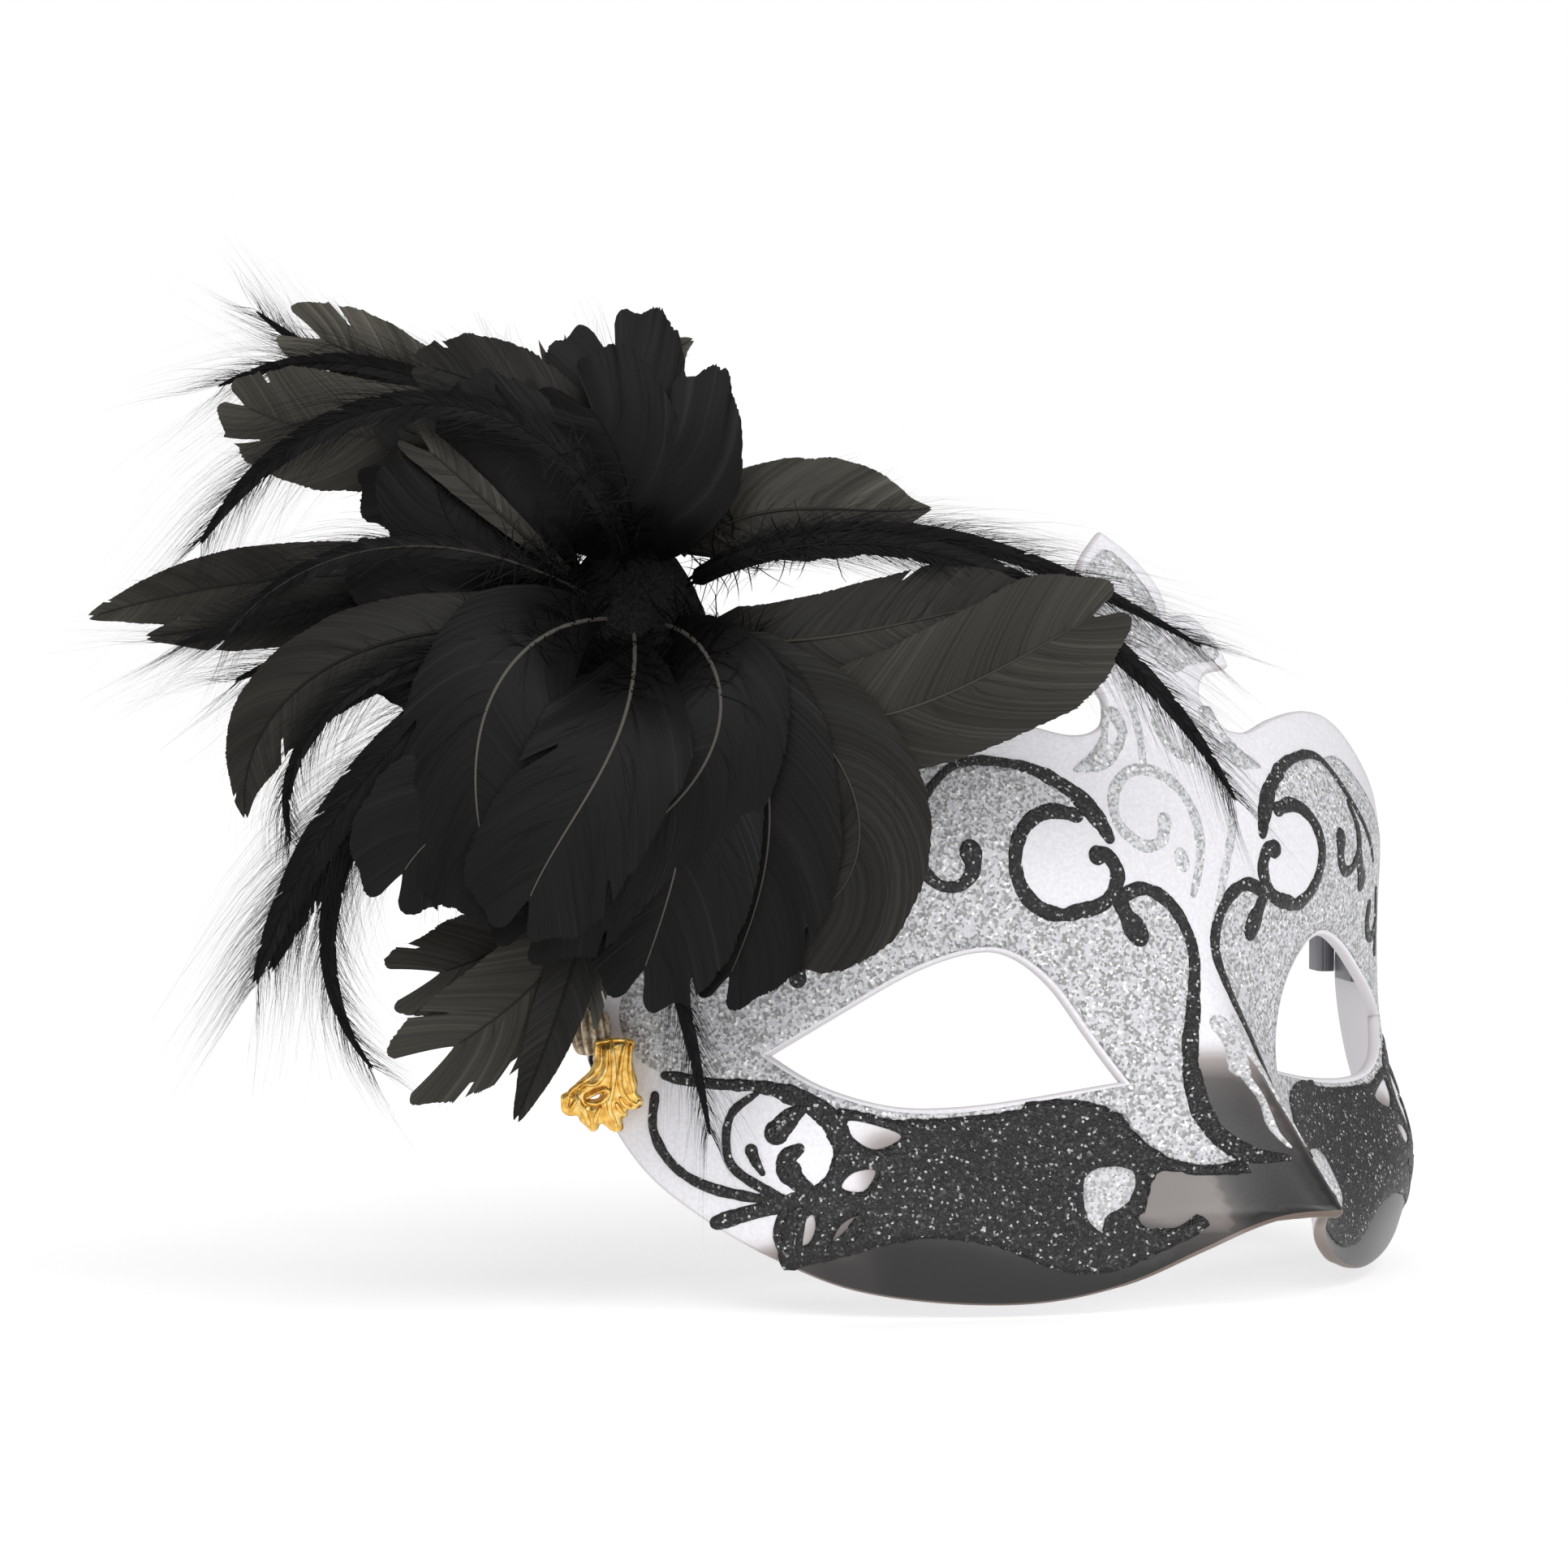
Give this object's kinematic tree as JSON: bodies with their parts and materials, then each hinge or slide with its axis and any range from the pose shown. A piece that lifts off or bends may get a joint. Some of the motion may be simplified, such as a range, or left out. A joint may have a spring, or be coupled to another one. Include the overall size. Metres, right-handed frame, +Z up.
{
  "type": "venetian masquerade mask",
  "caption": "Half-face venetian masquerade mask with cut-out eyes, a lily crest, a feather plume at the wearer's right temple, a gold leaf, beads and ribbon tie loops.",
  "frame": {"origin": "on the mask's mid-plane at the height of the eyes, at the outer face of the nose bridge", "axes": "+X towards the wearer's left, +Y towards the wearer's face, +Z up; the mask faces -Y and the plume is on -X"},
  "size_m": [0.2171, 0.1127, 0.1425],
  "materials": {
    "pearl_shell": "pearl white paint with silver and black glitter scrollwork",
    "black_feather": "black feather vane with a soft olive-brown sheen",
    "felt": "black felt",
    "ribbon": "grey satin ribbon",
    "gold": "bright yellow gold plate",
    "old_gold": "antique gold over beige",
    "cream": "cream, polished",
    "cord": "black waxed cord"
  },
  "bodies": {
    "mask": {"mask_shell": "pearl_shell", "tie_patch_right": "ribbon", "tie_patch_left": "ribbon", "plume_pad": "felt", "gold_leaf": "gold", "bead_cord": "cord", "feather_stub": "black_feather", "feather_wisp_high": "black_feather", "feather_back_upper": "black_feather", "feather_wisp_left_high": "black_feather", "feather_broad_upper": "black_feather", "feather_upright_leaf": "black_feather", "feather_top_right": "black_feather", "feather_crown_fill": "black_feather", "feather_left_tip": "black_feather", "feather_left_low": "black_feather", "feather_arch_back": "black_feather", "feather_left_hackle_a": "black_feather", "feather_right_hackle_b": "black_feather", "feather_left_hackle_b": "black_feather", "feather_right_hackle_a": "black_feather", "feather_low_leaf_b": "black_feather", "feather_crown_mid": "black_feather", "feather_left_fill": "black_feather", "feather_right_blade_up": "black_feather", "feather_low_hang": "black_feather", "feather_brown_tip": "black_feather", "feather_low_leaf_a": "black_feather", "feather_sliver": "black_feather", "feather_right_blade": "black_feather", "feather_right_round": "black_feather", "feather_low_point": "black_feather", "feather_left_droop": "black_feather", "feather_long_arch": "black_feather", "feather_left_thin": "black_feather", "feather_left_arch": "black_feather", "feather_cheek_hackle": "black_feather", "feather_drape_e": "black_feather", "feather_low_hackle_b": "black_feather", "feather_drape_f": "black_feather", "feather_drape_d": "black_feather", "feather_low_hackle": "black_feather", "feather_drape_b": "black_feather", "feather_drape_c": "black_feather", "feather_drape_a": "black_feather"},
    "tie_loop_right": {"tie_loop_right": "ribbon"},
    "tie_loop_left": {"tie_loop_left": "ribbon"},
    "ribbed_bead": {"ribbed_bead": "old_gold"},
    "cream_bead": {"cream_bead": "cream"}
  },
  "joints": [
    {"name": "tie_fold_right", "type": "hinge", "parent": "mask", "child": "tie_loop_right", "pos_m": [-0.07386, 0.0465, 0.0055], "axis": [0, 0, -1], "range_deg": [0, 70]},
    {"name": "tie_fold_left", "type": "hinge", "parent": "mask", "child": "tie_loop_left", "pos_m": [0.07386, 0.0465, 0.0055], "axis": [0, 0, 1], "range_deg": [0, 70]},
    {"name": "ribbed_bead_spin", "type": "hinge", "parent": "mask", "child": "ribbed_bead", "pos_m": [-0.08028, 0.04249, 0.0001], "axis": [0, 0, 1], "continuous": true},
    {"name": "cream_bead_spin", "type": "hinge", "parent": "mask", "child": "cream_bead", "pos_m": [-0.08418, 0.04407, 0.0027], "axis": [-0.6943, 0.5826, -0.4226], "continuous": true}
  ]
}
